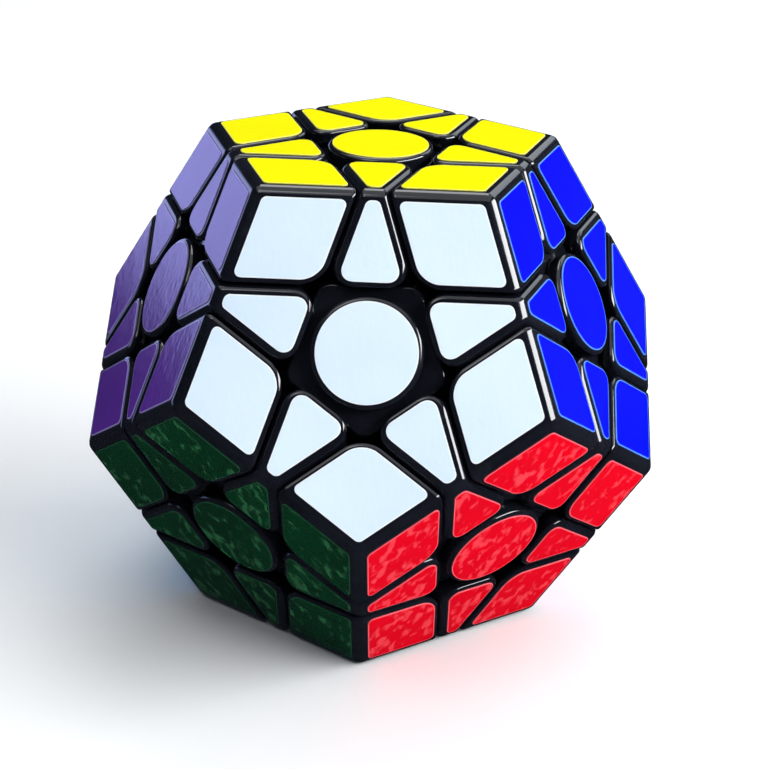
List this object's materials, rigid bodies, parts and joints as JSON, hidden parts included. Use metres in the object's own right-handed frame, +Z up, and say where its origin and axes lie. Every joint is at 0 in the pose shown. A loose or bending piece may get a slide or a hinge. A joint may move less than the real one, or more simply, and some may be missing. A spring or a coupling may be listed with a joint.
{
  "type": "dodecahedron twisty puzzle",
  "caption": "Hand-held twelve-faced twisty puzzle in glossy black plastic with coloured stickers, whose face layers turn on screws around a central core.",
  "frame": {"origin": "centre of the bottom (cream) face, where the puzzle stands", "axes": "+Z up through the top (yellow) face, white face towards -Y, +Y along the longest extent"},
  "size_m": [0.0782, 0.0818, 0.0668],
  "materials": {
    "black_plastic": "glossy moulded black plastic",
    "steel": "zinc plated steel",
    "sticker_yellow": "glossy yellow vinyl",
    "sticker_white": "glossy white vinyl",
    "sticker_blue": "glossy blue vinyl",
    "sticker_light_green": "glossy light green vinyl",
    "sticker_orange": "glossy orange vinyl",
    "sticker_purple": "glossy purple vinyl",
    "sticker_red": "glossy red vinyl",
    "sticker_pink": "glossy pink vinyl",
    "sticker_grey": "glossy grey vinyl",
    "sticker_light_blue": "glossy light blue vinyl",
    "sticker_dark_green": "glossy dark green vinyl",
    "sticker_cream": "glossy cream vinyl"
  },
  "bodies": {
    "core_and_still_pieces": {"core": "black_plastic", "screw_white": "steel", "screw_orange": "steel", "screw_cream": "steel", "corner_yellow_blue_light_green": "black_plastic", "corner_blue_light_green_pink": "black_plastic", "corner_blue_red_pink": "black_plastic", "corner_light_green_pink_grey": "black_plastic", "corner_purple_light_blue_dark_green": "black_plastic", "edge_yellow_blue": "black_plastic", "edge_yellow_light_green": "black_plastic", "edge_yellow_purple": "black_plastic", "edge_blue_light_green": "black_plastic", "edge_blue_red": "black_plastic", "edge_blue_pink": "black_plastic", "edge_light_green_pink": "black_plastic", "edge_light_green_grey": "black_plastic", "edge_purple_light_blue": "black_plastic", "edge_purple_dark_green": "black_plastic", "edge_red_pink": "black_plastic", "edge_red_dark_green": "black_plastic", "edge_pink_grey": "black_plastic", "edge_grey_light_blue": "black_plastic", "edge_light_blue_dark_green": "black_plastic"},
    "white_layer": {"centre_white": "black_plastic", "spring_white": "steel", "corner_yellow_white_blue": "black_plastic", "corner_yellow_white_purple": "black_plastic", "corner_white_blue_red": "black_plastic", "corner_white_purple_dark_green": "black_plastic", "corner_white_red_dark_green": "black_plastic", "edge_yellow_white": "black_plastic", "edge_white_blue": "black_plastic", "edge_white_purple": "black_plastic", "edge_white_red": "black_plastic", "edge_white_dark_green": "black_plastic"},
    "orange_layer": {"centre_orange": "black_plastic", "spring_orange": "steel", "corner_yellow_light_green_orange": "black_plastic", "corner_yellow_orange_purple": "black_plastic", "corner_light_green_orange_grey": "black_plastic", "corner_orange_purple_light_blue": "black_plastic", "corner_orange_grey_light_blue": "black_plastic", "edge_yellow_orange": "black_plastic", "edge_light_green_orange": "black_plastic", "edge_orange_purple": "black_plastic", "edge_orange_grey": "black_plastic", "edge_orange_light_blue": "black_plastic"},
    "cream_layer": {"centre_cream": "black_plastic", "spring_cream": "steel", "corner_red_pink_cream": "black_plastic", "corner_red_dark_green_cream": "black_plastic", "corner_pink_grey_cream": "black_plastic", "corner_grey_light_blue_cream": "black_plastic", "corner_light_blue_dark_green_cream": "black_plastic", "edge_red_cream": "black_plastic", "edge_pink_cream": "black_plastic", "edge_grey_cream": "black_plastic", "edge_light_blue_cream": "black_plastic", "edge_dark_green_cream": "black_plastic"}
  },
  "joints": [
    {"name": "white_face_turn", "type": "hinge", "parent": "core_and_still_pieces", "child": "white_layer", "pos_m": [0, 0, 0.03341], "axis": [0, -0.8944, 0.4472], "continuous": true},
    {"name": "orange_face_turn", "type": "hinge", "parent": "core_and_still_pieces", "child": "orange_layer", "pos_m": [0, 0, 0.03341], "axis": [-0.5257, 0.7236, 0.4472], "continuous": true},
    {"name": "cream_face_turn", "type": "hinge", "parent": "core_and_still_pieces", "child": "cream_layer", "pos_m": [0, 0, 0.03341], "axis": [0, 0, -1], "continuous": true}
  ]
}
